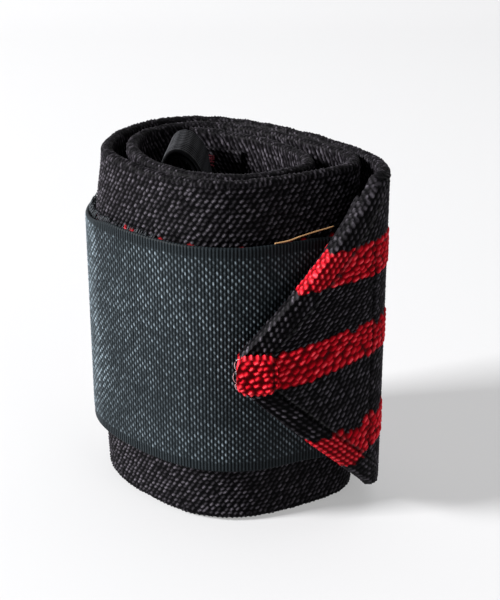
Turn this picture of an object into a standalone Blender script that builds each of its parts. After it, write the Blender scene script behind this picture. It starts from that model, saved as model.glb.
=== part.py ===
"""Elastic wrist support wrap, rolled up and standing on its edge.

Frame: metres, +Z up, front towards -Y, origin at the centre of the footprint on the floor.
The band is one spiral line in plan, cut into rigid runs at vertical hinges. The hinges
lie on the outer face, so that each run opens away from the next one.
"""

import math

import bmesh
import bpy
import numpy as np

MM = 0.001

BAND_W = 76.0          # 3 inch elastic
BAND_T = 2.6
STRAP_Z = (13.0, 63.0)  # 2 inch hook tape, centred on the band
TAPE_T = 0.8
HOOK_T = 0.5
LAYER_GAP = 0.3
GAP = 0.15             # half of the slit between two runs
CHAMFER = 0.45

# Outer face of the band in plan, from the pointed end inwards, mm.
BAND_LINE = (
    (1.3, -28.5), (8.7, -28.1), (14.7, -26.8), (20.7, -24.5), (25.7, -21.5), (29.5, -18.1),
    (31.5, -14.5), (32.2, -11.0), (31.9, -7.5), (30.7, -3.5), (27.4, 3.1), (22.5, 9.4),
    (17.6, 14.8), (12.2, 20.2), (5.7, 25.3), (-1.1, 28.6), (-8.6, 29.9), (-15.4, 28.6),
    (-20.6, 24.9), (-24.8, 19.3), (-27.4, 12.3), (-28.1, 5.0), (-26.9, -0.5), (-23.5, -6.5),
    (-19.3, -11.7), (-15.6, -15.5), (-10.9, -19.1), (-5.3, -21.5), (0.2, -22.1), (6.2, -20.9),
    (11.5, -18.4), (15.9, -16.0), (20.0, -13.7), (23.5, -11.3), (26.0, -8.0), (26.8, -4.2),
    (25.9, -0.5), (23.1, 3.9), (18.9, 8.3), (14.0, 12.8), (8.9, 17.2), (3.2, 21.2),
    (-2.6, 23.9), (-8.6, 24.9), (-14.3, 23.5), (-18.8, 19.9), (-21.8, 15.0), (-22.9, 8.5),
    (-21.9, 1.5), (-19.2, -4.7), (-15.5, -10.0), (-10.8, -14.3), (-5.3, -17.4), (0.4, -18.3),
    (5.7, -17.3), (10.2, -15.0), (14.0, -12.2), (16.6, -8.9), (17.3, -4.9), (15.9, -0.5),
    (13.2, 4.5), (9.7, 9.0), (5.7, 13.1), (0.7, 16.7), (-4.3, 19.1), (-9.3, 20.1),
)
STEP = 0.5             # spacing of the sampled line
BAND_HINGES = (31.0, 38.5, 54.0, 88.5, 100.5, 110.5, 125.0, 137.5,
               198.0, 205.0, 242.0, 254.0, 269.0, 292.0, 307.5, 321.5, 332.5)
ROOT_S = 168.0         # the front run that all the others hang from

STRAP_FROM, STRAP_TO = 184.0, 109.0   # the stretch of band under the strap
STRAP_ROOT = ((25.2, -14.6), (23.0, -15.8), (19.6, -16.9))
STRAP_HINGES = (28.5, 43.0, 57.0, 69.0, 80.0)
STAND_OFF = 2.0        # slack of the strap at the left bend

FLAP_UP = (41.5, 1.17)  # upper slanted edge: height at the tip, rise per mm
FLAP_LOW = (34.7, -0.93)
FOLD_T = 1.4

LOOP_X, LOOP_Y, LOOP_Z = (-13.4, -3.6), (-6.8, 13.4), (50.0, 75.4)
LOOP_T = 0.9
LOOP_PIVOT = 62.0      # height of the line that the loop leans about


# ---------------------------------------------------------------- plan lines

def spline(points, per=12):
    """A curve through the points (Catmull-Rom with square-root spacing)."""
    p = np.array(points, float)
    p = np.vstack([2 * p[0] - p[1], p, 2 * p[-1] - p[-2]])
    out = []
    for i in range(1, len(p) - 2):
        k = np.cumsum([0.0] + [np.linalg.norm(p[i + j] - p[i + j - 1]) ** 0.5 for j in (0, 1, 2)])
        t = np.linspace(k[1], k[2], per, endpoint=False)[:, None]
        a = [(k[j + 1] - t) / (k[j + 1] - k[j]) * p[i + j - 1]
             + (t - k[j]) / (k[j + 1] - k[j]) * p[i + j] for j in (0, 1, 2)]
        b = [(k[j + 2] - t) / (k[j + 2] - k[j]) * a[j]
             + (t - k[j]) / (k[j + 2] - k[j]) * a[j + 1] for j in (0, 1)]
        out.append((k[2] - t) / (k[2] - k[1]) * b[0] + (t - k[1]) / (k[2] - k[1]) * b[1])
    return np.vstack(out + [p[-2:-1]])


def resample(line, step):
    d = np.r_[0, np.cumsum(np.linalg.norm(np.diff(line, axis=0), axis=1))]
    s = np.linspace(0, d[-1], int(round(d[-1] / step)) + 1)
    return np.stack([np.interp(s, d, line[:, k]) for k in (0, 1)], 1)


def relax(line, times):
    for _ in range(times):
        inner = (line[:-2] + 2 * line[1:-1] + line[2:]) / 4
        line = np.vstack([line[:1], inner, line[-1:]])
    return line


def inward(line):
    """Unit vectors towards the inside of the roll."""
    t = np.gradient(line, axis=0)
    t /= np.linalg.norm(t, axis=1)[:, None]
    return np.stack([-t[:, 1], t[:, 0]], 1)


class Line:
    """A plan line with arc length, read at any s."""

    def __init__(self, points):
        self.p = resample(points, STEP)
        self.n = inward(self.p)
        self.s = np.r_[0, np.cumsum(np.linalg.norm(np.diff(self.p, axis=0), axis=1))]
        self.length = self.s[-1]

    def at(self, s, off=0.0):
        p = np.array([np.interp(s, self.s, self.p[:, k]) for k in (0, 1)])
        n = np.array([np.interp(s, self.s, self.n[:, k]) for k in (0, 1)])
        n /= np.linalg.norm(n)
        return p + n * off, n


def band_line():
    face = relax(resample(spline(BAND_LINE), STEP), 60)
    return Line(face + inward(face) * BAND_T / 2)


def strap_line(band):
    """Mid-line of the tape: over the front run, then loosely round the left bend."""
    s = np.arange(STRAP_FROM, STRAP_TO, -1.0)
    near = BAND_T / 2 + LAYER_GAP + HOOK_T + LAYER_GAP + TAPE_T / 2 + 0.05
    slack = STAND_OFF * np.clip((STRAP_FROM - 30 - s) / 25, 0, 1)
    over = [band.at(v, -near - k)[0] for v, k in zip(s, slack)]
    line = np.vstack([np.array(STRAP_ROOT), over])
    # The line runs clockwise, so reversed normals keep "inward" towards the roll.
    out = Line(relax(resample(line, STEP), 40))
    out.n = -out.n
    return out


def hinge_points(line, stops, face):
    return [line.at(s, -face - 0.3)[0] for s in stops]


# ---------------------------------------------------------------- solids

def clear():
    for obj in list(bpy.data.objects):
        bpy.data.objects.remove(obj, do_unlink=True)


def material(name, colour, rough=0.9):
    found = bpy.data.materials.get(name)
    if found:
        return found
    made = bpy.data.materials.new(name)
    made.use_nodes = True
    shader = made.node_tree.nodes["Principled BSDF"]
    shader.inputs["Base Color"].default_value = (*colour, 1)
    shader.inputs["Roughness"].default_value = rough
    return made


def publish(name, bm, origin, colour, rough=0.9):
    """Links the mesh as one object whose origin is at the given point, mm."""
    bmesh.ops.recalc_face_normals(bm, faces=bm.faces)
    data = bpy.data.meshes.new(name)
    ox, oy, oz = origin
    for v in bm.verts:
        v.co = ((v.co.x - ox) * MM, (v.co.y - oy) * MM, (v.co.z - oz) * MM)
    bm.to_mesh(data)
    bm.free()
    obj = bpy.data.objects.new(name, data)
    obj.location = (ox * MM, oy * MM, oz * MM)
    data.materials.append(material("mat_" + name, colour, rough))
    HOME.objects.link(obj)
    return obj


def loft(rings):
    """A closed solid through rings of equal length, capped at both ends."""
    bm = bmesh.new()
    rows = [[bm.verts.new(p) for p in ring] for ring in rings]
    for a, b in zip(rows[:-1], rows[1:]):
        for i in range(len(a)):
            j = (i + 1) % len(a)
            bm.faces.new((a[i], a[j], b[j], b[i]))
    bm.faces.new(rows[0][::-1])
    bm.faces.new(rows[-1])
    return bm


def section(p, n, t, low, high, c):
    """Eight corners of an upright slab section with chamfered edges."""
    c = min(c, t * 0.45, (high - low) * 0.3)
    h = t / 2
    uv = ((-h + c, low), (h - c, low), (h, low + c), (h, high - c),
          (h - c, high), (-h + c, high), (-h, high - c), (-h, low + c))
    return [(p[0] + n[0] * u, p[1] + n[1] * u, z) for u, z in uv]


def run(name, line, s0, s1, t, heights, origin, colour, off=0.0, pitch=2.6, c=CHAMFER):
    """One run of strip between s0 and s1; heights(s) gives its lower and upper edge."""
    count = max(2, int(math.ceil((s1 - s0) / pitch)) + 1)
    rings = []
    for s in np.linspace(s0, s1, count):
        p, n = line.at(s, off)
        low, high = heights(s)
        rings.append(section(p, n, t, low, high, c))
    return publish(name, loft(rings), origin, colour)


def cord(name, path, radius, origin, colour, sides=6):
    """A thin round thread along a path of points, mm."""
    path = np.array(path, float)
    tangent = np.gradient(path, axis=0)
    rings = []
    for p, t in zip(path, tangent):
        t = t / np.linalg.norm(t)
        ref = np.array((0.0, 0.0, 1.0)) if abs(t[2]) < 0.8 else np.array((1.0, 0.3, 0.0))
        u = np.cross(t, ref)
        u /= np.linalg.norm(u)
        v = np.cross(t, u)
        turn = [2 * math.pi * k / sides for k in range(sides)]
        rings.append([p + radius * (math.cos(a) * u + math.sin(a) * v) for a in turn])
    return publish(name, loft(rings), origin, colour, 0.6)


# ---------------------------------------------------------------- the wrap

BLACK = (0.022, 0.020, 0.024)
RED = (0.55, 0.01, 0.03)
SLATE = (0.045, 0.06, 0.075)
HOOKS = (0.08, 0.09, 0.10)
TAN = (0.55, 0.33, 0.16)
CLEAR = (0.6, 0.6, 0.6)


def full(_):
    return 0.0, BAND_W


def flap_edges(s):
    return FLAP_LOW[0] + FLAP_LOW[1] * s, min(BAND_W, FLAP_UP[0] + FLAP_UP[1] * s)


def corner_edges(s):
    """The run after the flap: its lower edge still rises off the floor."""
    return max(0.0, 5.2 * (BAND_HINGES[1] - s) / (BAND_HINGES[1] - BAND_HINGES[0])), BAND_W


def band_runs(band):
    """All runs of the elastic, with the hinge each one turns about as its origin."""
    hinges = hinge_points(band, BAND_HINGES, BAND_T / 2)
    root = sum(h < ROOT_S for h in BAND_HINGES)
    stops = (0.0,) + BAND_HINGES + (band.length,)
    for i in range(len(stops) - 1):
        a = stops[i] + (GAP if i else 0)
        b = stops[i + 1] - (GAP if i + 1 < len(stops) - 1 else 0)
        heights = flap_edges if i == 0 else corner_edges if i == 1 else full
        if i < root:
            home = (*hinges[i], 0.0)
        else:
            home = (*hinges[i - 1], 0.0) if i > root else (0.0, 0.0, 0.0)
        run(f"band_{i + 1:02d}", band, a, b, BAND_T, heights, home, BLACK)
    return (*hinges[0], 0.0), (*hinges[-1], 0.0)


def flap_trim(band, home):
    """Folded corners behind the flap, the tip block and the seams on its face."""
    off = BAND_T / 2 + LAYER_GAP + FOLD_T / 2
    run("flap_fold_upper", band, 1.0, 28.5, FOLD_T,
        lambda s: (38.3, flap_edges(s)[1] - 0.4), home, BLACK, off)
    run("flap_fold_lower", band, 1.0, 28.5, FOLD_T,
        lambda s: (flap_edges(s)[0] + 0.4, 37.9), home, BLACK, off)
    run("tip_block", band, 0.4, 7.6, 0.9, lambda s: (33.9, 42.3), home, RED,
        -(BAND_T / 2 + LAYER_GAP + 0.45), 2.6, 0.3)
    face = -(BAND_T / 2 + 0.62)
    for name, s0, s1, z0, z1 in (("seam_base", 29.5, 29.5, 13.0, 62.0),
                                 ("seam_upper", 9.4, 28.4, 45.6, 66.5),
                                 ("seam_lower", 9.4, 28.4, 32.0, 15.4)):
        k = np.linspace(0, 1, 14)
        path = [(*band.at(s0 + (s1 - s0) * t, face)[0], z0 + (z1 - z0) * t) for t in k]
        cord(name, path, 0.3, home, BLACK)
    p, n = band.at(0.0)
    side = np.array((n[1], -n[0]))
    turn = np.linspace(0.15, 0.85, 11) * 2 * math.pi
    path = [(*(p - side * (0.75 + 1.0 * (1 - math.cos(a)))), 37.6 + 2.3 * math.sin(a))
            for a in turn]
    cord("tip_thread", path, 0.2, home, CLEAR)


def strap_runs(band, strap, home):
    """Hook tape: its root under the flap, four runs round the roll and the end tab."""
    hinges = hinge_points(strap, STRAP_HINGES, TAPE_T / 2)
    stops = (0.0,) + STRAP_HINGES + (strap.length,)
    hook_off = TAPE_T / 2 + LAYER_GAP + HOOK_T / 2
    for i in range(len(stops) - 1):
        a = stops[i] + (GAP if i else 0)
        b = stops[i + 1] - (GAP if i + 1 < len(stops) - 1 else 0)
        where = home if i == 0 else (*hinges[i - 1], 0.0)
        run(f"strap_{i + 1:02d}", strap, a, b, TAPE_T, lambda s: STRAP_Z, where, SLATE, c=0.2)
        first = 17.0 if i == 0 else a
        last = b - (4.0 if i == len(stops) - 2 else 0)
        run(f"hooks_{i + 1:02d}", strap, first, last, HOOK_T,
            lambda s: (STRAP_Z[0] + 2, STRAP_Z[1] - 2), where, HOOKS, hook_off, c=0.1)
    tail = (*hinges[-1], 0.0)
    s = strap.length - 2.2
    path = [(*strap.at(s, -(TAPE_T / 2 + 0.5))[0], z) for z in np.linspace(15, 61, 12)]
    cord("strap_end_seam", path, 0.25, tail, SLATE)
    path = [(*strap.at(s, 0.0)[0], STRAP_Z[1] + 0.45) for s in np.linspace(6.0, 25.5, 12)]
    cord("strap_edge_thread", path, 0.2, home, TAN)


def hem(band, home):
    """The band's inner end, folded over, and the tack that holds the thumb loop."""
    off = BAND_T / 2 + LAYER_GAP + 0.6
    end = band.length
    run("inner_hem", band, end - 14.0, end - 0.3, 1.2, lambda s: (0.4, BAND_W - 0.4),
        home, BLACK, off)
    face = BAND_T / 2 + LAYER_GAP + 1.2 + 0.5
    p = [(*band.at(end - 12.5 + t, face)[0], 69.5) for t in np.linspace(6.0, 10.5, 5)]
    cord("hem_tack", p, 0.32, home, RED)


def oval_ring(x0, x1, z0, z1, per=14):
    """A stadium with round ends at top and bottom, in x and z."""
    r, cx = (x1 - x0) / 2, (x0 + x1) / 2
    turn = np.linspace(0, math.pi, per)
    top = [(cx + r * math.cos(a), z1 - r + r * math.sin(a)) for a in turn]
    low = [(cx - r * math.cos(a), z0 + r - r * math.sin(a)) for a in turn]
    return top + low


def sleeve(name, inset, origin):
    """One layer of the thumb loop: a closed strip of elastic, LOOP_T thick."""
    (x0, x1), (y0, y1), (z0, z1) = LOOP_X, LOOP_Y, LOOP_Z
    y0, y1 = y0 + inset * 0.6, y1 - inset * 0.6
    outer = oval_ring(x0 + inset, x1 - inset, z0 + inset, z1 - inset)
    cut = inset + LOOP_T
    inner = oval_ring(x0 + cut, x1 - cut, z0 + cut, z1 - cut)
    bm = bmesh.new()
    rows = [[bm.verts.new((x, y, z)) for x, z in ring]
            for ring, y in ((outer, y0), (outer, y1), (inner, y1), (inner, y0))]
    for k in range(4):
        a, b = rows[k], rows[(k + 1) % 4]
        for i in range(len(a)):
            j = (i + 1) % len(a)
            bm.faces.new((a[i], a[j], b[j], b[i]))
    publish(name, bm, origin, BLACK)


def thumb_loop():
    pivot = ((LOOP_X[0] + LOOP_X[1]) / 2, 0.0, LOOP_PIVOT)
    sleeve("thumb_loop_outer", 0.0, pivot)
    sleeve("thumb_loop_inner", LOOP_T + LAYER_GAP, pivot)


def build():
    band = band_line()
    strap = strap_line(band)
    flap_home, end_home = band_runs(band)
    flap_trim(band, flap_home)
    strap_runs(band, strap, flap_home)
    hem(band, end_home)
    thumb_loop()


clear()
HOME = bpy.data.collections.new("wrist_support_wrap")
bpy.context.scene.collection.children.link(HOME)
build()
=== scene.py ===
"""Looks of the rolled elastic wrist wrap: knitted band, hook tape, seams and thumb loop.

Cloth pieces are closed strips on a grid of (s, z): s runs along the band's middle line from the
pointed end inwards, z is the height. Stitches are real relief, laid out on lattices in (s, z).
Each piece of the band and the tape reaches from the middle of one rigid run to the middle of the
next, across the hinge between them, unbent; what is sewn on top rides on one body.
"""

import math

import bpy
import numpy as np
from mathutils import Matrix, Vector


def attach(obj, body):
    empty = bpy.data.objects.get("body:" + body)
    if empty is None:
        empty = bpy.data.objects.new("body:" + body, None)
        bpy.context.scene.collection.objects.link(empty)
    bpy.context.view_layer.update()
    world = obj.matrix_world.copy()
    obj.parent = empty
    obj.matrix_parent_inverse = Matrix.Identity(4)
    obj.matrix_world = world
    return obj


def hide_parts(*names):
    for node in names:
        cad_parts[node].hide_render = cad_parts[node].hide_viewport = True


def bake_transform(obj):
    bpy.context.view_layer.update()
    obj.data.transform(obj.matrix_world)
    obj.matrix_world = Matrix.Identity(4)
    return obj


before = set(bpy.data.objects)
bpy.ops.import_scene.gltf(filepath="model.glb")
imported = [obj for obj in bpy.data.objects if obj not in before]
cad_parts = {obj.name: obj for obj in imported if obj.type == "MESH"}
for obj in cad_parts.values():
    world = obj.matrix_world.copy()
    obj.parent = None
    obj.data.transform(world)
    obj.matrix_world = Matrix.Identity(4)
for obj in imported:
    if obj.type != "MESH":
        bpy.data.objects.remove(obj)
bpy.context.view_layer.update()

MM = 0.001

# ---------------------------------------------------------------- sizes, mm, as in the CAD part

BAND_W, BAND_T = 76.0, 2.6
STRAP_Z = (13.0, 63.0)
TAPE_T, HOOK_T, LAYER_GAP = 0.8, 0.5, 0.3
BAND_LINE = (
    (1.3, -28.5), (8.7, -28.1), (14.7, -26.8), (20.7, -24.5), (25.7, -21.5), (29.5, -18.1),
    (31.5, -14.5), (32.2, -11.0), (31.9, -7.5), (30.7, -3.5), (27.4, 3.1), (22.5, 9.4),
    (17.6, 14.8), (12.2, 20.2), (5.7, 25.3), (-1.1, 28.6), (-8.6, 29.9), (-15.4, 28.6),
    (-20.6, 24.9), (-24.8, 19.3), (-27.4, 12.3), (-28.1, 5.0), (-26.9, -0.5), (-23.5, -6.5),
    (-19.3, -11.7), (-15.6, -15.5), (-10.9, -19.1), (-5.3, -21.5), (0.2, -22.1), (6.2, -20.9),
    (11.5, -18.4), (15.9, -16.0), (20.0, -13.7), (23.5, -11.3), (26.0, -8.0), (26.8, -4.2),
    (25.9, -0.5), (23.1, 3.9), (18.9, 8.3), (14.0, 12.8), (8.9, 17.2), (3.2, 21.2),
    (-2.6, 23.9), (-8.6, 24.9), (-14.3, 23.5), (-18.8, 19.9), (-21.8, 15.0), (-22.9, 8.5),
    (-21.9, 1.5), (-19.2, -4.7), (-15.5, -10.0), (-10.8, -14.3), (-5.3, -17.4), (0.4, -18.3),
    (5.7, -17.3), (10.2, -15.0), (14.0, -12.2), (16.6, -8.9), (17.3, -4.9), (15.9, -0.5),
    (13.2, 4.5), (9.7, 9.0), (5.7, 13.1), (0.7, 16.7), (-4.3, 19.1), (-9.3, 20.1),
)
STEP = 0.5
BAND_HINGES = (31.0, 38.5, 54.0, 88.5, 100.5, 110.5, 125.0, 137.5,
               198.0, 205.0, 242.0, 254.0, 269.0, 292.0, 307.5, 321.5, 332.5)
STRAP_FROM, STRAP_TO = 184.0, 109.0
STRAP_ROOT = ((25.2, -14.6), (23.0, -15.8), (19.6, -16.9))
STRAP_HINGES = (28.5, 43.0, 57.0, 69.0, 80.0)
STAND_OFF = 2.0
FLAP_UP, FLAP_LOW = (41.5, 1.17), (34.7, -0.93)
FOLD_T = 1.4
LOOP_X, LOOP_Y, LOOP_Z, LOOP_T = (-13.4, -3.6), (-6.8, 13.4), (50.0, 75.4), 0.9

# ---------------------------------------------------------------- looks

STRIPES = (17.7, 38.2, 58.7)
STRIPE_W = 8.3
# How each stripe climbs towards the right-hand turn: start, run and rise.
LIFTS = ((20.0, 16.0, 2.5), (8.0, 18.0, 4.0), (25.0, 10.0, 0.3))
LIFT_END = 58.0           # where the lower edge is back on the floor
FLOOR_GAP = 0.42          # the lowest loops of the knit end on the floor
BELLY = 1.5               # how far the left bend stands out below its rim
KNIT = (1.25, 1.0)        # pitch of the plain stitches along s and z
RED_KNIT = (1.65, 1.35)
KNIT_RELIEF = 0.32
KNOT_BASE, KNOT_RELIEF = 0.08, 0.50
RIB = 1.0                 # pitch of the loops over the band's edges
SELVAGE = 4.6             # width of the rolled strip along the slanted edges
STRIP_ENDS = (37.0, 35.0)  # where the upper and the lower strip run out
SEAM_S = 29.3             # the upright seam at the base of the point
BAND_CORE = BAND_T - 0.4  # thickness without the stitches' relief
RIM_ROUND = 0.75          # height of the band's rounded rims
EDGE = 1.1                # width of the rims in the layout of rows and stitches
ROW = 0.475               # usual spacing of the rows
FRONT_STEP, SIDE_STEP, CORE_STEP = 0.2, 0.4, 0.3   # spacing of the stations along s
POINT, BACK, OUTER = 2, 5, 9   # pieces up to the end of the point, the back and the outer turn
BEND_REACH = 8.0          # how far the bend zone reaches to either side of its hinge; no piece is bent
TAPE_RIB = 0.72
TAPE_DOT = (1.44, 1.5)
TAPE_SINK = 1.5           # how far the tape's upper edge sinks behind the left bend
HOOK_GRID = (1.5, 1.3)    # pitch of the hooks along s and z
HOOK_R, HOOK_COLOUR = 0.075, (0.045, 0.050, 0.056)
BRISTLE_PITCH = 0.55
TAPE_CORE, TAPE_ROUND = TAPE_T - 0.12, 0.34
LOOP_RIB = 1.3            # pitch of the ribs across the thumb loop
LOOP_TRIM = 3.6           # how much narrower the loop is than its CAD solid

# The black, red, loop and tape pairs run from painted shade in the gaps between stitches,
# ribs and dots to painted highlight on their tops; the yarns' hues are their own.
BLACK_SHADE, BLACK_HIGHLIGHT = (0.0008, 0.0007, 0.0010), (0.135, 0.122, 0.144)
RED_SHADE, RED_HIGHLIGHT = (0.06, 0.0, 0.001), (0.84, 0.005, 0.020)
GLINT, GLINT_COLOUR = 0.40, (1.0, 0.24, 0.28)   # on the tops of the red stitches
LOOP_SHADE, LOOP_HIGHLIGHT = (0.0006, 0.0006, 0.0008), (0.050, 0.051, 0.056)
TAN, CLEAR = (0.42, 0.24, 0.11), (0.42, 0.30, 0.31)      # the first a painted highlight along the tape's upper edge, the second threads
GREY, PINK = (0.20, 0.24, 0.27), (0.17, 0.030, 0.042)
TAPE_SHADE, TAPE_HIGHLIGHT = (0.0012, 0.0020, 0.0026), (0.30, 0.37, 0.42)


# ---------------------------------------------------------------- plan lines

def spline(points, per=12):
    """A curve through the points (Catmull-Rom with square-root spacing)."""
    p = np.array(points, float)
    p = np.vstack([2 * p[0] - p[1], p, 2 * p[-1] - p[-2]])
    out = []
    for i in range(1, len(p) - 2):
        k = np.cumsum([0.0] + [np.linalg.norm(p[i + j] - p[i + j - 1]) ** 0.5 for j in (0, 1, 2)])
        t = np.linspace(k[1], k[2], per, endpoint=False)[:, None]
        a = [(k[j + 1] - t) / (k[j + 1] - k[j]) * p[i + j - 1]
             + (t - k[j]) / (k[j + 1] - k[j]) * p[i + j] for j in (0, 1, 2)]
        b = [(k[j + 2] - t) / (k[j + 2] - k[j]) * a[j]
             + (t - k[j]) / (k[j + 2] - k[j]) * a[j + 1] for j in (0, 1)]
        out.append((k[2] - t) / (k[2] - k[1]) * b[0] + (t - k[1]) / (k[2] - k[1]) * b[1])
    return np.vstack(out + [p[-2:-1]])


def resample(line, step):
    d = np.r_[0, np.cumsum(np.linalg.norm(np.diff(line, axis=0), axis=1))]
    s = np.linspace(0, d[-1], int(round(d[-1] / step)) + 1)
    return np.stack([np.interp(s, d, line[:, k]) for k in (0, 1)], 1)


def relax(line, times):
    for _ in range(times):
        inner = (line[:-2] + 2 * line[1:-1] + line[2:]) / 4
        line = np.vstack([line[:1], inner, line[-1:]])
    return line


def inward(line):
    t = np.gradient(line, axis=0)
    t /= np.linalg.norm(t, axis=1)[:, None]
    return np.stack([-t[:, 1], t[:, 0]], 1)


class Line:
    """A plan line with arc length, read at arrays of s."""

    def __init__(self, points):
        self.p = resample(points, STEP)
        self.n = inward(self.p)
        self.s = np.r_[0, np.cumsum(np.linalg.norm(np.diff(self.p, axis=0), axis=1))]
        self.length = self.s[-1]

    def at(self, s, off=0.0):
        first_step = self.p[1] - self.p[0]
        before = np.minimum(np.asarray(s) - self.s[0], 0)[..., None] * first_step / STEP
        p = before + np.stack([np.interp(s, self.s, self.p[:, k]) for k in (0, 1)], -1)
        n = np.stack([np.interp(s, self.s, self.n[:, k]) for k in (0, 1)], -1)
        n /= np.linalg.norm(n, axis=-1)[..., None]
        return p + n * np.asarray(off)[..., None], n


def band_line():
    face = relax(resample(spline(BAND_LINE), STEP), 60)
    return Line(face + inward(face) * BAND_T / 2)


def strap_line(band):
    s = np.arange(STRAP_FROM, STRAP_TO, -1.0)
    near = BAND_T / 2 + LAYER_GAP + HOOK_T + LAYER_GAP + TAPE_T / 2 + 0.05
    slack = STAND_OFF * np.clip((STRAP_FROM - 30 - s) / 25, 0, 1)
    over = [band.at(v, -near - k)[0] for v, k in zip(s, slack)]
    out = Line(relax(resample(np.vstack([np.array(STRAP_ROOT), over]), STEP), 40))
    out.n = -out.n
    return out


BAND = band_line()
STRAP = strap_line(BAND)


# ---------------------------------------------------------------- random numbers and lattices

def noise_at(i, j, seed):
    """A repeatable number from 0 to 1 for each lattice cell."""
    v = np.sin(i * 12.9898 + j * 78.233 + seed * 37.719) * 43758.5453
    return v - np.floor(v)


def smooth_noise(x, seed):
    """Smooth 1D noise from -1 to 1 with features about 1 long."""
    i = np.floor(x)
    f = x - i
    f = f * f * (3 - 2 * f)
    return 2 * ((1 - f) * noise_at(i, 0, seed) + f * noise_at(i + 1, 0, seed)) - 1


def smooth_noise2(x, y, seed):
    i, j = np.floor(x), np.floor(y)
    f, g = x - i, y - j
    f, g = f * f * (3 - 2 * f), g * g * (3 - 2 * g)
    low = (1 - f) * noise_at(i, j, seed) + f * noise_at(i + 1, j, seed)
    high = (1 - f) * noise_at(i, j + 1, seed) + f * noise_at(i + 1, j + 1, seed)
    return 2 * ((1 - g) * low + g * high) - 1


def stitches(u, v, pitch, long, wide, slant, seed, loose=0.12):
    """Height 0..1 of staggered oblong stitches, and the nearest one's centre height and tone."""
    best = np.zeros_like(u)
    home = np.full_like(u, -99.0)
    tone = np.zeros_like(u)
    j0 = np.round(v / pitch[1])
    for dj in (-1, 0, 1):
        j = j0 + dj
        shift = 0.5 * np.mod(j, 2)
        i0 = np.round(u / pitch[0] - shift)
        for di in (-1, 0, 1):
            i = i0 + di
            cu = (i + shift + loose * (noise_at(i, j, seed) - 0.5)) * pitch[0]
            cv = (j + loose * (noise_at(i, j, seed + 1) - 0.5)) * pitch[1]
            turn = slant + 0.35 * (noise_at(i, j, seed + 2) - 0.5)
            du, dv = u - cu, v - cv
            a = du * np.cos(turn) + dv * np.sin(turn)
            b = -du * np.sin(turn) + dv * np.cos(turn)
            h = np.exp(-(a / long) ** 4 - (b / wide) ** 2)
            win = h > best
            best = np.where(win, h, best)
            home = np.where(win, cv, home)
            tone = np.where(win, noise_at(i, j, seed + 3), tone)
    return best, home, tone


def mix(low, high, t):
    t = np.clip(t, 0, 1)[..., None]
    return np.array(low) * (1 - t) + np.array(high) * t


# ---------------------------------------------------------------- knitted faces

def ease(t):
    t = np.clip(t, 0, 1)
    return t * t * (3 - 2 * t)


def climb(s, z):
    """How far the knit is pulled up towards the right-hand turn."""
    back = 1 - ease((s - 42) / 40)
    shares = ((1, 1, 0, 0, 0), (0, 0, 1, 0, 0), (0, 0, 0, 1, 0))
    return back * sum(np.interp(z, (0, 19, 41, 59, 76), share) * rise * ease((s - at) / run)
                      for share, (at, run, rise) in zip(shares, LIFTS))


def stripe_mask(s, home):
    """True for a stitch whose centre lies in a red stripe; the tape hides and squeezes them."""
    hidden = np.clip((s - 90) / 15, 0, 1) * np.clip((143 - s) / 3, 0, 1)
    sag = -3.0 * hidden - 0.74 * np.clip((s - 136) / 12, 0, 1) * np.clip((215 - s) / 20, 0, 1)
    lowest = 1.6 * ease((s - 88) / 15) * ease((215 - s) / 20)
    away = [np.abs(home - c - move) for c, move in zip(STRIPES, (lowest, sag, sag))]
    return np.min(away, axis=0) < STRIPE_W / 2 - 0.25


def edge_distance(s, z):
    """Distance from the two slanted edges of the pointed end."""
    up = (FLAP_UP[0] + FLAP_UP[1] * s - z) / math.hypot(1, FLAP_UP[1])
    low = (z - FLAP_LOW[0] - FLAP_LOW[1] * s) / math.hypot(1, FLAP_LOW[1])
    return up, low


def knit_face(s, z, red=True, pointed=False):
    """Relief in mm and colour of the band's face at (s, z)."""
    v = z - climb(s, z)
    plain, _, tone = stitches(s, v, KNIT, 0.52, 0.20, 0.72, 1, 0.30)
    height = KNIT_RELIEF * plain
    # Stitch tops are painted lighter and the gaps darker: painted highlight and painted shade.
    colour = mix(BLACK_SHADE, BLACK_HIGHLIGHT, plain ** 2.0 * (0.16 + 0.84 * tone ** 1.6))
    if red:
        knot, home, tint = stitches(s, v, RED_KNIT, 0.72, 0.42, 0.62, 7, 0.50)
        inside = stripe_mask(s, home) & (knot > 0.004)
        height = np.where(inside, KNOT_BASE + KNOT_RELIEF * knot, height)
        colour = np.where(inside[..., None], red_tint(knot, tint), colour)
    if pointed:
        height, colour = slanted_edges(s, z, height, colour)
    return height, colour


def red_tint(knot, tint):
    # (painted shade and painted highlight); shine adds a pale painted glint on the highest tops.
    # The yarn's red is painted darker in the gaps between knots and lighter on their tops
    base = mix(RED_SHADE, RED_HIGHLIGHT, knot ** 1.1 * (0.55 + 0.45 * tint))
    shine = (np.clip(knot - 0.70, 0, 1) / 0.30 * tint ** 1.5)[..., None]
    return base * (1 - GLINT * shine) + GLINT * shine * np.array(GLINT_COLOUR)


def edge_rows(along, d, which):
    """Stitch rows that run along a slanted edge, d from it; they carry on over the edge."""
    slant = 0.5 if which else -0.5
    return stitches(along, d - 0.5, (1.35, 1.1), 0.52, 0.30, slant, 21 + which, 0.22)


def edge_colour(s, z, rows, tone):
    on = stripe_mask(s, z - climb(s, z) + 0.35 * np.sin(s * 2.1))
    # Stitch tops are painted lighter and the gaps darker: painted highlight and painted shade.
    dark = mix(BLACK_SHADE, BLACK_HIGHLIGHT, rows ** 2.6 * (0.08 + 0.80 * tone ** 2.2))
    return np.where(on[..., None], red_tint(rows, 0.35 + 0.65 * tone), dark)


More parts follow.
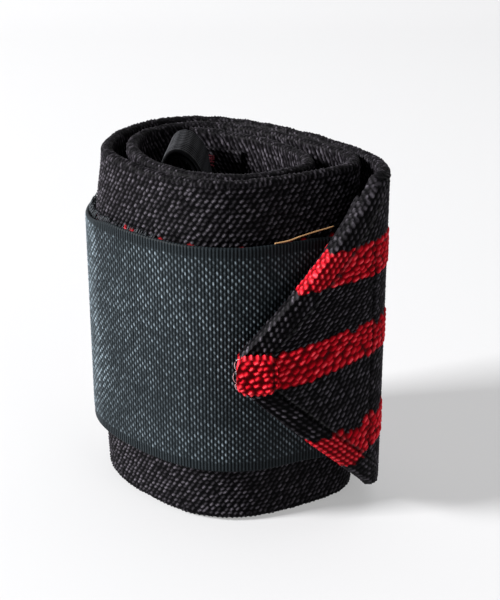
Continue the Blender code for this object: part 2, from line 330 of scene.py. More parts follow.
def slanted_edges(s, z, height, colour):
    """Rolled strips of stitches along both slanted edges, with a seam behind each."""
    for which, rise in enumerate((FLAP_UP[1], FLAP_LOW[1])):
        d = edge_distance(s, z)[which]
        turn = math.atan(rise)
        along = s * math.cos(turn) + z * math.sin(turn)
        rows, _, tone = edge_rows(along, d, which)
        fade = np.clip((STRIP_ENDS[which] - s) / 4.0, 0, 1)
        roll = 0.62 * np.sqrt(np.clip(1 - ((d - 1.7) / 3.0) ** 2, 0, 1))
        near = np.clip((SELVAGE - 0.1 - d) / 0.4, 0, 1) * fade
        ridge = np.exp(-((d - SELVAGE - 0.35) / 0.22) ** 2)
        ridge = ridge * (0.5 + 0.5 * np.sin(along * 2 * math.pi / 1.7)) * fade
        groove = np.exp(-((d - SELVAGE + 0.05) / 0.35) ** 2) * fade
        height = height * (1 - near) + (roll + 0.36 * rows) * near + 0.22 * ridge - 0.18 * groove
        rolled = edge_colour(s, z, rows, tone)
        colour = colour * (1 - near[..., None]) + rolled * near[..., None]
        # Painted shade darkens the groove behind each strip and a painted highlight lightens its
        # ridge.
        colour = colour * (1 - 0.75 * groove[..., None]) + 0.03 * ridge[..., None]
    return height, colour


# ---------------------------------------------------------------- closed strips

def materials():
    made = {}

    def make(name, rough, gloss, fine, bump):
        mat = bpy.data.materials.new(name)
        mat.use_nodes = True
        nodes, links = mat.node_tree.nodes, mat.node_tree.links
        shader = nodes["Principled BSDF"]
        shader.inputs["Roughness"].default_value = rough
        shader.inputs["Specular IOR Level"].default_value = gloss
        colour = nodes.new("ShaderNodeVertexColor")
        colour.layer_name = "tint"
        place = nodes.new("ShaderNodeTexCoord")
        grain = nodes.new("ShaderNodeTexNoise")
        grain.inputs["Scale"].default_value = fine
        grain.inputs["Detail"].default_value = 3.0
        span = nodes.new("ShaderNodeMapRange")
        span.inputs["To Min"].default_value = 0.62
        span.inputs["To Max"].default_value = 1.38
        blend = nodes.new("ShaderNodeMix")
        blend.data_type = "RGBA"
        blend.blend_type = "MULTIPLY"
        blend.inputs["Factor"].default_value = 1.0
        links.new(place.outputs["Object"], grain.inputs["Vector"])
        links.new(grain.outputs["Fac"], span.inputs["Value"])
        links.new(colour.outputs["Color"], blend.inputs["A"])
        links.new(span.outputs["Result"], blend.inputs["B"])
        links.new(blend.outputs["Result"], shader.inputs["Base Color"])
        lift = nodes.new("ShaderNodeBump")
        lift.inputs["Distance"].default_value = bump
        lift.inputs["Strength"].default_value = 0.6
        links.new(grain.outputs["Fac"], lift.inputs["Height"])
        links.new(lift.outputs["Normal"], shader.inputs["Normal"])
        made[name] = mat

    make("knit", 0.55, 0.03, 2600.0, 0.00012)
    make("tape", 0.50, 0.04, 2600.0, 0.00008)
    make("thread", 0.45, 0.10, 3000.0, 0.00004)
    return made


MATS = materials()


def build_mesh(name, points, quads, rings, colours, mat):
    """One mesh object from numpy arrays in mm: quads, and end rings closed by one face each."""
    data = bpy.data.meshes.new(name)
    points = np.asarray(points, np.float64).reshape(-1, 3) * MM
    quads = np.asarray(quads, np.int64).reshape(-1, 4)
    loops = np.concatenate([quads.ravel()] + [np.asarray(r, np.int64) for r in rings])
    starts = list(np.arange(0, quads.size, 4))
    at = quads.size
    for r in rings:
        starts.append(at)
        at += len(r)
    data.vertices.add(len(points))
    data.vertices.foreach_set("co", points.ravel())
    data.loops.add(len(loops))
    data.polygons.add(len(starts))
    data.loops.foreach_set("vertex_index", loops)
    data.polygons.foreach_set("loop_start", np.array(starts, np.int64))
    data.update(calc_edges=True)
    layer = data.color_attributes.new("tint", "FLOAT_COLOR", "POINT")
    rgba = np.ones((len(points), 4), np.float32)
    rgba[:, :3] = np.asarray(colours, float).reshape(-1, 3)
    layer.data.foreach_set("color", rgba.ravel())
    data.materials.append(MATS[mat])
    data.polygons.foreach_set("use_smooth", np.arange(len(starts)) < len(quads))
    obj = bpy.data.objects.new(name, data)
    bpy.context.scene.collection.objects.link(obj)
    return obj


def grid_faces(rows, cols, base=0):
    """Quads of a grid of closed rings: cols stations of rows points each."""
    i = np.arange(cols - 1)[:, None]
    j = np.arange(rows)[None, :]
    k = (j + 1) % rows
    a, b = i * rows + j, i * rows + k
    return np.stack([a, b, b + rows, a + rows], -1).reshape(-1, 4) + base


def outward(points, quads):
    """True if the quads of a closed mesh face outwards."""
    p = points.reshape(-1, 3) - points.reshape(-1, 3).mean(0)
    a, b, c, d = (p[quads[:, k]] for k in range(4))
    return np.einsum("ij,ij->", np.cross(c - a, d - b), (a + b + c + d)) > 0


def strip(name, line, stations, edges, thick, radius, looks, levels, mat, shift=0.0, out=None):
    """A closed strip of cloth along a plan line.

    edges(s) gives lower and upper edge; looks = (outer, inner, rim) give relief and colour;
    levels = (outer, inner) heights of the rows as shares of the face, 0 to 1; shift moves the
    strip inwards, and out(s, z) moves its points outwards.
    """
    outer, inner, rim = looks
    s = np.asarray(stations, float)[:, None]
    low, high = edges(s)
    low, high = low + radius, high - radius
    up, down = np.asarray(levels[0])[None, :], np.asarray(levels[1])[None, ::-1]
    turn = np.linspace(0, math.pi, 9)[None, 1:-1]
    blocks = []
    z = low + (high - low) * up
    height, colour = outer(s + 0 * z, z)
    blocks.append((s + 0 * z, z, -(thick / 2 + height), colour))
    height, colour = rim(s + 0 * turn, turn, True)
    blocks.append((s + 0 * turn, high + (radius + height) * np.sin(turn),
                   -(thick / 2 + 0.6 * height) * np.cos(turn), colour))
    z = low + (high - low) * down
    height, colour = inner(s + 0 * z, z)
    blocks.append((s + 0 * z, z, thick / 2 + height, colour))
    height, colour = rim(s + 0 * turn, turn, False)
    blocks.append((s + 0 * turn, low - (radius + height) * np.sin(turn),
                   (thick / 2 + 0.6 * height) * np.cos(turn), colour))
    ss, zz, off = (np.concatenate([b[k] for b in blocks], 1) for k in range(3))
    tint = np.concatenate([b[3] for b in blocks], 1)
    if out:
        off = off - out(ss, zz)
    plan, _ = line.at(ss, off + shift)
    points = np.concatenate([plan, zz[..., None]], -1)
    cols, rows = ss.shape
    quads = grid_faces(rows, cols)
    first, last = np.arange(rows), np.arange(rows) + (cols - 1) * rows
    if outward(points, quads):
        rings = [first[::-1], last]
    else:
        quads, rings = quads[:, ::-1], [first, last[::-1]]
    return build_mesh(name, points, quads, rings, tint, mat)


def tube(paths, radius, colour, sides=6, twist=0.0):
    """Points, quads, end rings and colours of round threads along paths of points, mm."""
    points, quads, rings, tints, base = [], [], [], [], 0
    turn = np.linspace(0, 2 * math.pi, sides, endpoint=False)
    for n, path in enumerate(paths):
        path = np.asarray(path, float)
        t = np.gradient(path, axis=0)
        t /= np.linalg.norm(t, axis=1)[:, None]
        ref = np.where(np.abs(t[:, 2:3]) < 0.8, np.array([[0.0, 0, 1]]), np.array([[1.0, 0.3, 0]]))
        u = np.cross(t, ref)
        u /= np.linalg.norm(u, axis=1)[:, None]
        v = np.cross(t, u)
        run = np.r_[0, np.cumsum(np.linalg.norm(np.diff(path, axis=0), axis=1))]
        spin = turn[None, :] + twist * run[:, None]
        lobes = radius * (1 + (0.22 * np.cos(3 * turn) if twist else 0 * turn))
        ring = path[:, None] + lobes[None, :, None] * (
            np.cos(spin)[..., None] * u[:, None] + np.sin(spin)[..., None] * v[:, None])
        quads.append(grid_faces(sides, len(path), base)[:, ::-1])
        first = np.arange(sides) + base
        rings += [first, (first + (len(path) - 1) * sides)[::-1]]
        shade = 0.85 + 0.3 * noise_at(n, 1, 5)
        tints.append(np.tile(np.array(colour) * shade, (ring.shape[0] * sides, 1)))
        points.append(ring.reshape(-1, 3))
        base += ring.shape[0] * sides
    return np.vstack(points), np.vstack(quads), rings, np.vstack(tints)


def threads(name, paths, radius, colour, sides=6, twist=0.0):
    points, quads, rings, tints = tube(paths, radius, colour, sides, twist)
    return build_mesh(name, points, quads, rings, tints, "thread")


# ---------------------------------------------------------------- the band

def lower_edge(s):
    """The point's lower edge, then the raised corner that comes down behind it."""
    a = BAND_HINGES[0]
    corner = FLAP_LOW[0] + FLAP_LOW[1] * a
    low = np.where(s < a, FLAP_LOW[0] + FLAP_LOW[1] * s, corner * (LIFT_END - s) / (LIFT_END - a))
    return np.maximum(low, FLOOR_GAP)


def full(s):
    return lower_edge(s), BAND_W + 0 * s


def belly(s, z):
    """How far the band stands out at the left bend, inside the tape."""
    slack = np.clip((STRAP_FROM - 30 - s) / 25, 0, 1) * ease((s - 90) / 16)
    return BELLY * slack * ease((BAND_W - z) / 15) * (0.6 + 0.4 * ease(z / 20))


def point_edges(s):
    """Edges of the pointed end."""
    return lower_edge(s), np.minimum(BAND_W, FLAP_UP[0] + FLAP_UP[1] * s)


def ribs(s, pitch, seed):
    """Loops over an edge: height 0..1, uneven from loop to loop."""
    wave = 0.5 + 0.5 * np.cos(2 * math.pi * s / pitch)
    return wave * (0.75 + 0.25 * noise_at(np.round(s / pitch), 0, seed))


def selvage(s, v):
    """Short upright loops that run over the band's edges; v carries on round the edge."""
    loops, _, tone = stitches(s, v, (RIB, 0.95), 0.46, 0.20, 1.20, 43, 0.34)
    # Loop tops are painted lighter and the gaps darker: painted highlight and painted shade.
    return loops, mix(BLACK_SHADE, BLACK_HIGHLIGHT, loops ** 2.2 * (0.05 + 0.55 * tone ** 2))


def lumps(s, seed):
    return 0.17 * smooth_noise(s / 1.9, seed) + 0.12 * smooth_noise(s / 5.3, seed + 1)


def band_rim(s, turn, top):
    v = BAND_W - EDGE + 1.2 * turn if top else EDGE - 1.2 * (math.pi - turn)
    loops, colour = selvage(s + 0 * v, v + 0 * s)
    return (0.32 * loops - 0.1 + 0.8 * lumps(s, 11 if top else 14)) * np.sin(turn) ** 0.5, colour


def point_rim(s, turn, top):
    """The edge of the slanted sides: the strip's stitches carry on round it."""
    which = 0 if top else 1
    line = (FLAP_UP, FLAP_LOW)[which]
    z = line[0] + line[1] * s + 0 * turn
    tilt = math.atan(line[1])
    d = -0.9 * turn if top else -0.9 * (math.pi - turn)
    rows, _, tone = edge_rows(s * math.cos(tilt) + z * math.sin(tilt), d + 0 * s, which)
    straight, tint = band_rim(s, turn, top)
    height = (0.40 * rows + 0.5 * lumps(s, 17 + which)) * np.sin(turn) ** 0.5
    far = np.clip(((29.5 if top else 36.0) - s) / 2.0, 0, 1) + 0 * turn
    colour = edge_colour(s + 0 * turn, z, rows, tone)
    colour = tint + (colour - tint) * far[..., None]
    return straight * (1 - far) + height * far, colour


def faded(look, s, z):
    """Relief near the two edges turns into the loops that run over them."""
    height, colour = look
    low, high = full(s)
    near = np.clip((1.7 - np.minimum(z - low, high - z)) / 0.8, 0, 1)
    loops, ribbed = selvage(s, z)
    height = height * (1 - near) + 0.30 * loops * near
    return height, colour * (1 - near[..., None]) + ribbed * near[..., None]


def outer_plain(s, z):
    return faded(knit_face(s, z), s, z)


def outer_point(s, z):
    height, colour = knit_face(s, z, pointed=True)
    crease = np.exp(-((s - SEAM_S) / 0.45) ** 2) * (z > 14) * (z < 62)
    height = height - 0.40 * crease
    # The seam's crease is painted darker: painted shade.
    return height, colour * (1 - 0.8 * crease[..., None])


def inner_plain(s, z):
    return faded(knit_face(s, z, red=False), s, z)


def rows_full(fine_low, fine_high, fine, coarse):
    """Shares of the face height for rows that are close together near the two edges."""
    top = BAND_W - EDGE
    a = np.arange(EDGE, fine_low, fine)
    b = np.arange(fine_low, fine_high, coarse)
    c = np.linspace(fine_high, top, max(2, int((top - fine_high) / fine)))
    z = np.concatenate([a, b[b < fine_high - 0.3 * coarse], c])
    return (z - EDGE) / (BAND_W - 2 * EDGE)


def piece_ends(hinges, length):
    """Each piece reaches from mid-run to mid-run; the first and the last reach the ends."""
    between = [(a + b) / 2 for a, b in zip(hinges[:-1], hinges[1:])]
    return [0.0] + between + [length]


def band_pieces():
    middle = piece_ends(BAND_HINGES, BAND.length)
    outside = rows_full(14, 61, ROW / 2, ROW)
    hidden = rows_full(6, 60, ROW, 0.5)
    for k, hinge in enumerate(BAND_HINGES):
        a, b = middle[k], middle[k + 1]
        front = k < POINT or BACK <= k < OUTER
        step = FRONT_STEP if front else SIDE_STEP if k < BACK else CORE_STEP
        cells = max(8, int(round((b - a) / step)))
        s = np.linspace(a, b, cells + 1)
        if k < POINT:
            rows = (np.linspace(0, 1, 310), np.linspace(0, 1, 150))
            looks, edges = (outer_point, inner_plain, point_rim), point_edges
        elif k < OUTER:
            rows = (outside if front else rows_full(14, 61, ROW, ROW), hidden)
            looks, edges = (outer_plain, inner_plain, band_rim), full
        else:
            rows = (hidden, rows_full(6, 52, ROW, ROW))
            looks, edges = (outer_plain, inner_plain, band_rim), full
        obj = strip(f"elastic_{k + 1:02d}", BAND, s, edges, BAND_CORE, RIM_ROUND, looks, rows,
                    "knit", out=belly)
        nodes = [f"band_{k + 1:02d}"] + (["band_18"] if k == len(BAND_HINGES) - 1 else [])
        if k == 0:
            nodes += ["seam_base", "seam_upper", "seam_lower"]
        bend(obj, BAND, (a, b), hinge)
        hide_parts(*nodes)
        area_of(s, edges)


def area_of(s, edges):
    low, high = edges(s)
    width = high - low
    return float(((width[1:] + width[:-1]) / 2 * np.diff(s)).sum())


def bend(obj, line, span, hinge):
    """Bakes the placement into the mesh, unbent; the bend zone, short of both ends, is left unused.
    """
    half = min(BEND_REACH, hinge - span[0], span[1] - hinge)
    p, _ = line.at(np.array([hinge - half, hinge + half]), np.zeros(2))
    centre, _ = line.at(np.array([hinge]), np.zeros(1))
    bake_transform(obj)


# ---------------------------------------------------------------- the hook tape

def tape_edges(s):
    """The upper edge sinks a little behind the left bend."""
    return STRAP_Z[0] + 0 * s, STRAP_Z[1] - TAPE_SINK * ease((s - 56) / 12)


def tape_face(s, z):
    rib = 0.5 + 0.5 * np.cos(2 * math.pi * s / TAPE_RIB)
    row = z / (TAPE_DOT[1] / 2)
    dots, _, tone = stitches(s, z, (TAPE_DOT[0], TAPE_DOT[1] / 2), 0.34, 0.17, 1.42, 31, 0.10)
    fine = 0.5 + 0.5 * np.cos(2 * math.pi * row) * np.cos(2 * math.pi * s / TAPE_DOT[0])
    inside = np.clip(np.minimum(z - STRAP_Z[0], STRAP_Z[1] - z) - 2.0, 0, 0.3) / 0.3
    dots = dots * inside
    height = 0.13 * rib + 0.15 * dots
    # Rib crests and dot tops are painted lighter, more in some random patches than others: painted
    # highlights.
    patch = 0.75 + 0.45 * smooth_noise2(s / 7.0, z / 9.0, 33)
    lit = dots ** 1.6 * (0.18 + 0.76 * tone ** 1.6) * patch
    shine = 0.045 * rib ** 3 + 0.020 * fine * inside + lit
    shine = shine + 0.03 * rib ** 2 * (1 - inside)
    return height, mix(TAPE_SHADE, TAPE_HIGHLIGHT, shine)


def tape_back(s, z):
    weave = 0.5 + 0.5 * np.cos(2 * math.pi * s / 1.5) * np.cos(2 * math.pi * z / 1.3)
    # Weave tops are painted lighter: painted highlight.
    return 0.03 * weave, mix(TAPE_SHADE, TAPE_HIGHLIGHT, 0.03 + 0.05 * weave)


def tape_rim(s, turn, top):
    rib = 0.5 + 0.5 * np.cos(2 * math.pi * s / TAPE_RIB)
    lump = 0.05 * smooth_noise(s / 3.0, 41)
    height = (0.05 * rib + lump) * np.sin(turn) ** 0.5
    # Rib crests are painted lighter: painted highlight.
    return height, mix(TAPE_SHADE, TAPE_HIGHLIGHT, 0.005 + 0.04 * rib ** 2)


def hook_paths(a, b):
    """Small bent hooks standing on the inner face of the tape between a and b."""
    paths = []
    foot = TAPE_T / 2 - 0.08
    ds, dz = HOOK_GRID
    for i in range(int(a / ds), int(b / ds) + 1):
        for j in range(int(STRAP_Z[0] / dz) + 2, int(STRAP_Z[1] / dz)):
            s = ds * (i + 0.5 * (j % 2)) + 0.3 * (noise_at(i, j, 51) - 0.5)
            z = dz * j + 0.3 * (noise_at(i, j, 52) - 0.5)
            if not a <= s < b or z > STRAP_Z[1] - 1.5:
                continue
            lean = 0.22 * (1 if noise_at(i, j, 53) > 0.4 else -1)
            up = 0.60 + 0.08 * noise_at(i, j, 54)
            path = [(s, z, foot), (s, z, foot + 0.6 * up), (s + 0.3 * lean, z, foot + 0.9 * up),
                    (s + lean, z, foot + up), (s + 1.7 * lean, z, foot + 0.8 * up)]
            q = np.array(path)
            plan, _ = STRAP.at(q[:, 0], q[:, 2])
            paths.append(np.column_stack([plan, q[:, 1]]))
    return paths + bristles(a, b)


def bristles(a, b):
    """Hooks that stand out over the tape's upper edge where it stands off the band."""
    paths = []
    for i in range(int(max(a, 44.0) / BRISTLE_PITCH), int(b / BRISTLE_PITCH)):
        s = BRISTLE_PITCH * i + 0.4 * noise_at(i, 0, 56)
        rise, lean = 0.3 + 0.7 * noise_at(i, 0, 57), 0.9 * (noise_at(i, 0, 58) - 0.5)
        t = np.linspace(0, 1, 6)
        plan, _ = STRAP.at(s + lean * t, TAPE_T / 2 - 0.1 + 0.9 * np.sin(math.pi * 0.6 * t))
        z = STRAP_Z[1] - 0.9 + (0.5 + rise) * np.sin(math.pi * 0.75 * t)
        paths.append(np.column_stack([plan, z]))
    return paths


def tape_pieces():
    middle = piece_ends(STRAP_HINGES, STRAP.length)
    rows = (np.linspace(0, 1, 200), np.linspace(0, 1, 26))
    for k, hinge in enumerate(STRAP_HINGES):
        a, b = middle[k], middle[k + 1]
        cells = int(round((b - a) / (0.18 if k < 3 else 0.36)))
        s = np.linspace(a, b, cells + 1)
        obj = strip(f"tape_{k + 1}", STRAP, s, tape_edges, TAPE_CORE, TAPE_ROUND,
                    (tape_face, tape_back, tape_rim), rows, "tape")
        bend(obj, STRAP, (a, b), hinge)
        last = k == len(STRAP_HINGES) - 1
        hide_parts(f"strap_{k + 1:02d}", *(["strap_06"] if last else []))
        field = (max(a, 17.0), b - (4.0 if last else 0.0))
        pile = threads(f"hook_field_{k + 1}", hook_paths(*field), HOOK_R, HOOK_COLOUR, sides=4)
        bend(pile, STRAP, (a, b), hinge)
        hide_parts(f"hooks_{k + 1:02d}", *(["hooks_06"] if last else []))


# ---------------------------------------------------------------- trim on the pointed end

FOLD_SPAN, FOLD_MEET, FOLD_INSET = (2.5, 27.5), (38.3, 37.9), 1.6
TIP_MID, TIP_HALF = (3.7, 38.1), (4.15, 4.2)   # centre and half size of the cover, along s and z
EDGE_GLINT_SPAN = (5.2, 18.0)


def fold_face(s, z):
    height, colour = knit_face(s, z)
    # The folded layer's knit is painted a tenth darker than the band's: painted shade.
    return 0.7 * height, colour * 0.9


def fold_rim(s, turn, top):
    loops = ribs(s, RIB, 17)
    # Loop tops are painted a little lighter than the gaps: painted highlight and painted shade.
    return 0.12 * loops * np.sin(turn) ** 0.5, mix(BLACK_SHADE, BLACK_HIGHLIGHT, 0.10 * loops)


def folds():
    shift = BAND_T / 2 + LAYER_GAP + FOLD_T / 2
    s = np.arange(*FOLD_SPAN, 0.4)
    rows = (np.linspace(0, 1, 24), np.linspace(0, 1, 64))
    for name, edges in (
            ("flap_fold_upper", lambda v: (FOLD_MEET[0] + 0 * v, point_edges(v)[1] - FOLD_INSET)),
            ("flap_fold_lower", lambda v: (point_edges(v)[0] + FOLD_INSET, FOLD_MEET[1] + 0 * v))):
        obj = strip("folded_" + name[10:], BAND, s, edges, FOLD_T - 0.2, 0.5,
                    (fold_face, fold_face, fold_rim), rows, "knit", shift)
        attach(obj, "end_flap")
        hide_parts(name)
        low, high = edges(s)
        area_of(s, edges)


def block_face(s, z):
    knot, _, tint = stitches(s + 0.4, z, (1.5, 1.25), 0.62, 0.36, 0.6, 61, 0.5)
    seam = np.exp(-((s - 6.9) / 0.32) ** 2)
    height = 0.55 * knot * (1 - 0.8 * seam)
    # The seam's groove is painted darker: painted shade.
    return height, red_tint(knot, tint) * (1 - 0.85 * seam[..., None])


def block_rim(s, turn, top):
    loops = ribs(s, 1.3, 63) + 0 * turn
    # Loop tops are painted lighter red with a glint and the gaps darker: painted highlight and
    # painted shade.
    return 0.40 * loops * np.sin(turn) ** 0.5, red_tint(loops, 0.7 + 0 * loops)


def block_edges(s):
    half = TIP_HALF[1] * np.clip(1 - (np.abs(s - TIP_MID[0]) / TIP_HALF[0]) ** 4, 0.02, 1) ** 0.4
    return TIP_MID[1] - half, TIP_MID[1] + half


def tip_block():
    s = np.linspace(-0.3, 7.6, 56)
    rows = (np.linspace(0, 1, 44), np.linspace(0, 1, 8))
    # The cover's hidden inner face is the shaded red all over: painted shade.
    obj = strip("tip_cover", BAND, s, block_edges, 1.3, 0.6,
                (block_face, lambda a, b: (0 * a * b, mix(RED_SHADE, RED_SHADE, 0 * a * b)), block_rim),
                rows, "knit", -(BAND_T / 2 + 0.95))
    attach(obj, "end_flap")
    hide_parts("tip_block")


def tip_loops():
    p, n = BAND.at(np.array([0.0]), np.array([-1.6]))
    side = np.array((n[0][1], -n[0][0]))
    paths = []
    for mid, tall, reach in ((40.2, 1.3, 0.9), (37.6, 1.5, 1.2), (35.6, 0.9, 0.8)):
        turn = np.linspace(-1.3, 1.3, 12) * math.pi / 2
        paths.append([(*(p[0] - side * (reach * math.cos(a) - 0.2)), mid + tall * math.sin(a))
                      for a in turn])
    obj = threads("tip_thread_loops", paths, 0.07, CLEAR)
    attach(obj, "end_flap")
    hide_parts("tip_thread")


# A thin tan strand along the tape's upper edge stands in for a line of light caught on that edge: a
# painted highlight.
def edge_thread():
    start, end = EDGE_GLINT_SPAN
    s = np.linspace(start, end, 90)
    plan, _ = STRAP.at(s, -0.15 + 0 * s)
    rise = 1.9 * ((end - s) / (end - start)) ** 1.4
    z = STRAP_Z[1] + 0.25 + rise + 0.10 * smooth_noise(s / 3.0, 71)
    obj = threads("tan_thread", [np.column_stack([plan, z])], 0.14, TAN, sides=8, twist=6.0)
    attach(obj, "end_flap")
    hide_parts("strap_edge_thread")


def zigzag(line, s0, off, z0, z1, swing, pitch):
    z = np.arange(z0, z1, pitch / 2)
    s = s0 + swing * (np.arange(len(z)) % 2)
    fine = np.linspace(0, len(z) - 1, 4 * len(z))
    z, s = np.interp(fine, np.arange(len(z)), z), np.interp(fine, np.arange(len(s)), s)
    plan, _ = line.at(s, off + 0 * s)
    return np.column_stack([plan, z])


def end_seam():
    path = zigzag(STRAP, STRAP.length - 3.0, -(TAPE_T / 2 + 0.12), 15.0, 61.0, 1.6, 1.5)
    obj = threads("tape_end_stitches", [path], 0.17, GREY)
    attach(obj, "strap_tab")
    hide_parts("strap_end_seam")


# ---------------------------------------------------------------- hem and thumb loop

CROWN_FROM, CROWN_RUN = 62.0, 13.0
# The crown's lean and lift: at its back, and what is added towards its front.
CROWN_LEAN, CROWN_LIFT, CROWN_SQUEEZE = (1.0, 0.9), (1.5, 0.3), 0.18


def hem_look(s, z):
    height, colour = knit_face(s, z, red=False)
    return 0.8 * height, colour


def hem():
    end = BAND.length
    s = np.arange(end - 14.0, end - 0.3, 0.3)
    rows = (np.linspace(0, 1, 20), rows_full(6, 52, 0.3, 0.6))
    obj = strip("hem", BAND, s, lambda v: (0.4 + 0 * v, BAND_W - 3.6 + 0 * v), 0.5, 0.3,
                (hem_look, hem_look, fold_rim), rows, "knit", BAND_T / 2 + LAYER_GAP + 0.3)
    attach(obj, "inner_end")
    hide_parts("inner_hem")
    paths = []
    for k in range(5):
        t = np.linspace(0, 1, 9)
        q = end - 6.5 + 4.4 * t
        plan, _ = BAND.at(q, BAND_T / 2 + LAYER_GAP + 0.85 + 0.28 * np.sin(math.pi * t))
        paths.append(np.column_stack([plan, 68.3 + 0.65 * k + 0.35 * np.sin(5 * t + k)]))
    obj = threads("loop_tack", paths, 0.22, PINK, sides=8, twist=3.5)
    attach(obj, "inner_end")
    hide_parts("hem_tack")


def oval(x0, x1, z0, z1, count):
    """Points and outward directions round a stadium with round ends at top and bottom."""
    r, cx = (x1 - x0) / 2, (x0 + x1) / 2
    straight = z1 - z0 - 2 * r
    total = 2 * straight + 2 * math.pi * r
    out = []
    for d in np.arange(count) * total / count:
        if d < math.pi * r:
            a = d / r
            out.append((cx + r * math.cos(a), z1 - r + r * math.sin(a), math.cos(a), math.sin(a)))
        elif d < math.pi * r + straight:
            out.append((x0, z1 - r - (d - math.pi * r), -1.0, 0.0))
        elif d < 2 * math.pi * r + straight:
            a = math.pi + (d - math.pi * r - straight) / r
            out.append((cx + r * math.cos(a), z0 + r + r * math.sin(a), math.cos(a), math.sin(a)))
        else:
            out.append((x1, z0 + r + (d - 2 * math.pi * r - straight), 1.0, 0.0))
    return np.array(out)


def loop_layer(name, node, inset):
    """One layer of the thumb loop: its ribs run round the arch, side by side across its width."""
    count, thick = 130, LOOP_T
    y0, y1 = LOOP_Y[0] + LOOP_TRIM + inset * 0.6, LOOP_Y[1] - inset * 0.6
    ring = oval(LOOP_X[0] + inset, LOOP_X[1] - inset, LOOP_Z[0] + inset, LOOP_Z[1] - inset, count)
    y = np.arange(y0 + 0.3, y1 - 0.3, 0.22)
    turn = np.linspace(0, math.pi, 7)[1:-1]
    rib = (0.5 + 0.5 * np.cos(2 * math.pi * y / LOOP_RIB)) ** 0.8
    yy = np.concatenate([y, y1 - 0.3 + 0.3 * np.sin(turn), y[::-1], y0 + 0.3 - 0.3 * np.sin(turn)])
    depth = np.concatenate([0.46 * rib - 0.40, -thick / 2 + thick / 2 * np.cos(turn),
                            -thick - 0.1 * rib[::-1] + 0.1, -thick / 2 - thick / 2 * np.cos(turn)])
    shade = np.concatenate([rib, 0.5 + 0 * turn, rib[::-1], 0.5 + 0 * turn])
    knots = 0.75 + 0.25 * np.cos(2 * math.pi * np.arange(count) * 0.25)[:, None]
    sag = 0.12 * smooth_noise2(np.arange(count)[:, None] / 9.0, yy[None, :] / 4.0, 81)
    grow = depth[None, :] + sag
    x = ring[:, 0:1] + ring[:, 2:3] * grow
    z = ring[:, 1:2] + ring[:, 3:4] * grow
    share = (y1 - np.broadcast_to(yy, x.shape)) / (y1 - y0)
    high = np.clip((z - CROWN_FROM) / CROWN_RUN, 0, 1)
    lean, lift = (at_back + more * share for at_back, more in (CROWN_LEAN, CROWN_LIFT))
    x = x - lean * high - CROWN_SQUEEZE * (x - LOOP_X[0]) * high
    z = z + lift * high
    points = np.stack([x, np.broadcast_to(yy, x.shape), z], -1)
    # Rib tops are painted lighter and the gaps darker: painted highlight and painted shade.
    tint = mix(LOOP_SHADE, LOOP_HIGHLIGHT, shade[None, :] ** 5.0 * knots)
    rows = len(yy)
    quads = grid_faces(rows, count)
    j = np.arange(rows)
    k = (j + 1) % rows
    last = (count - 1) * rows
    quads = np.vstack([quads, np.stack([last + j, last + k, k, j], -1)])
    if not outward(points, quads):
        quads = quads[:, ::-1]
    obj = build_mesh(name, points, quads, [], tint, "knit")
    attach(obj, "thumb_loop")
    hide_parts(node)


def thumb_loop():
    loop_layer("loop_outer_layer", "thumb_loop_outer", 0.0)
    loop_layer("loop_inner_layer", "thumb_loop_inner", LOOP_T + LAYER_GAP)


# ---------------------------------------------------------------- stage, light, camera

FLOOR_COLOUR, FLOOR_GLOW = (0.27, 0.27, 0.275, 1), 0.36
WORLD_COLOUR, WORLD_GLOW = (0.95, 0.96, 1.0, 1), 0.10
LENS, SENSOR = 81.6, 36.0
CAMERA_AT, LOOK_DOWN = (0.0037, -0.274, 0.1548), 22.3   # metres, degrees below level


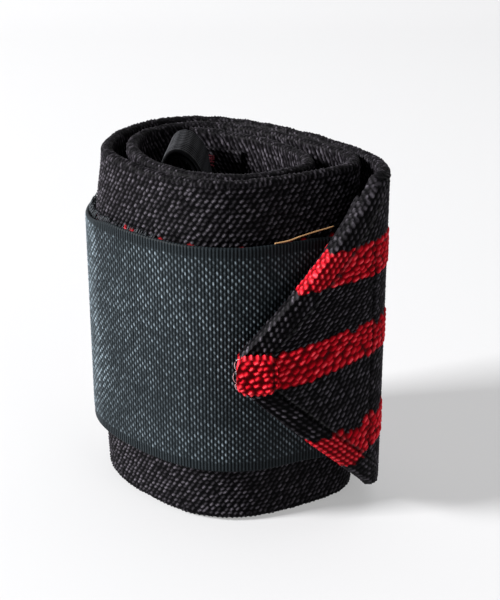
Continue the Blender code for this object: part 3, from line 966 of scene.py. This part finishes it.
def stage():
    """A pale floor that sweeps up into a wall behind the part and glows a little."""
    floor = bpy.data.meshes.new("floor")
    half, back, top, r, n = 4.0, 0.75, 0.9, 0.25, 12
    turn = [math.pi / 2 * k / n for k in range(n + 1)]
    sweep = [(back - r + r * math.sin(t), r - r * math.cos(t)) for t in turn]
    line = [(-half, 0.0)] + sweep + [(back, top)]
    verts = [(x, y, z) for y, z in line for x in (-half, half)]
    faces = [(2 * k, 2 * k + 1, 2 * k + 3, 2 * k + 2) for k in range(len(line) - 1)]
    floor.from_pydata(verts, [], faces)
    floor.polygons.foreach_set("use_smooth", [True] * len(faces))
    obj = bpy.data.objects.new("floor", floor)
    bpy.context.scene.collection.objects.link(obj)
    mat = bpy.data.materials.new("floor")
    mat.use_nodes = True
    shader = mat.node_tree.nodes["Principled BSDF"]
    shader.inputs["Base Color"].default_value = FLOOR_COLOUR
    shader.inputs["Roughness"].default_value = 0.9
    shader.inputs["Emission Color"].default_value = (1, 1, 1, 1)
    shader.inputs["Emission Strength"].default_value = FLOOR_GLOW
    floor.materials.append(mat)


def area_light(name, place, target, size, power):
    """A square area light at place that faces target; sizes in metres and watts."""
    data = bpy.data.lights.new(name, "AREA")
    data.shape, data.size, data.energy = "SQUARE", size, power
    obj = bpy.data.objects.new(name, data)
    obj.location = place
    obj.rotation_euler = (Vector(target) - Vector(place)).to_track_quat("-Z", "Y").to_euler()
    bpy.context.scene.collection.objects.link(obj)


def lights():
    area_light("key", (-1.72, -0.44, 0.98), (0, 0, 0.04), 0.44, 130.0)
    area_light("fill", (0.55, -0.62, 0.52), (0, 0, 0.04), 0.5, 1.6)
    area_light("overhead", (0.22, 0.10, 1.0), (0, 0, 0), 0.9, 4.0)
    world = bpy.data.worlds.new("studio")
    world.use_nodes = True
    sky = world.node_tree.nodes["Background"]
    sky.inputs["Color"].default_value = WORLD_COLOUR
    sky.inputs["Strength"].default_value = WORLD_GLOW
    bpy.context.scene.world = world
    bpy.context.scene.view_settings.view_transform = "Standard"


def camera():
    data = bpy.data.cameras.new("camera")
    data.lens, data.sensor_width, data.sensor_fit = LENS, SENSOR, "AUTO"
    data.clip_start, data.clip_end = 0.01, 10.0
    obj = bpy.data.objects.new("camera", data)
    obj.location = CAMERA_AT
    obj.rotation_euler = (math.radians(90 - LOOK_DOWN), 0, 0)
    bpy.context.scene.collection.objects.link(obj)
    bpy.context.scene.camera = obj


band_pieces()
tape_pieces()
folds()
tip_block()
tip_loops()
edge_thread()
end_seam()
hem()
thumb_loop()
stage()
lights()
camera()
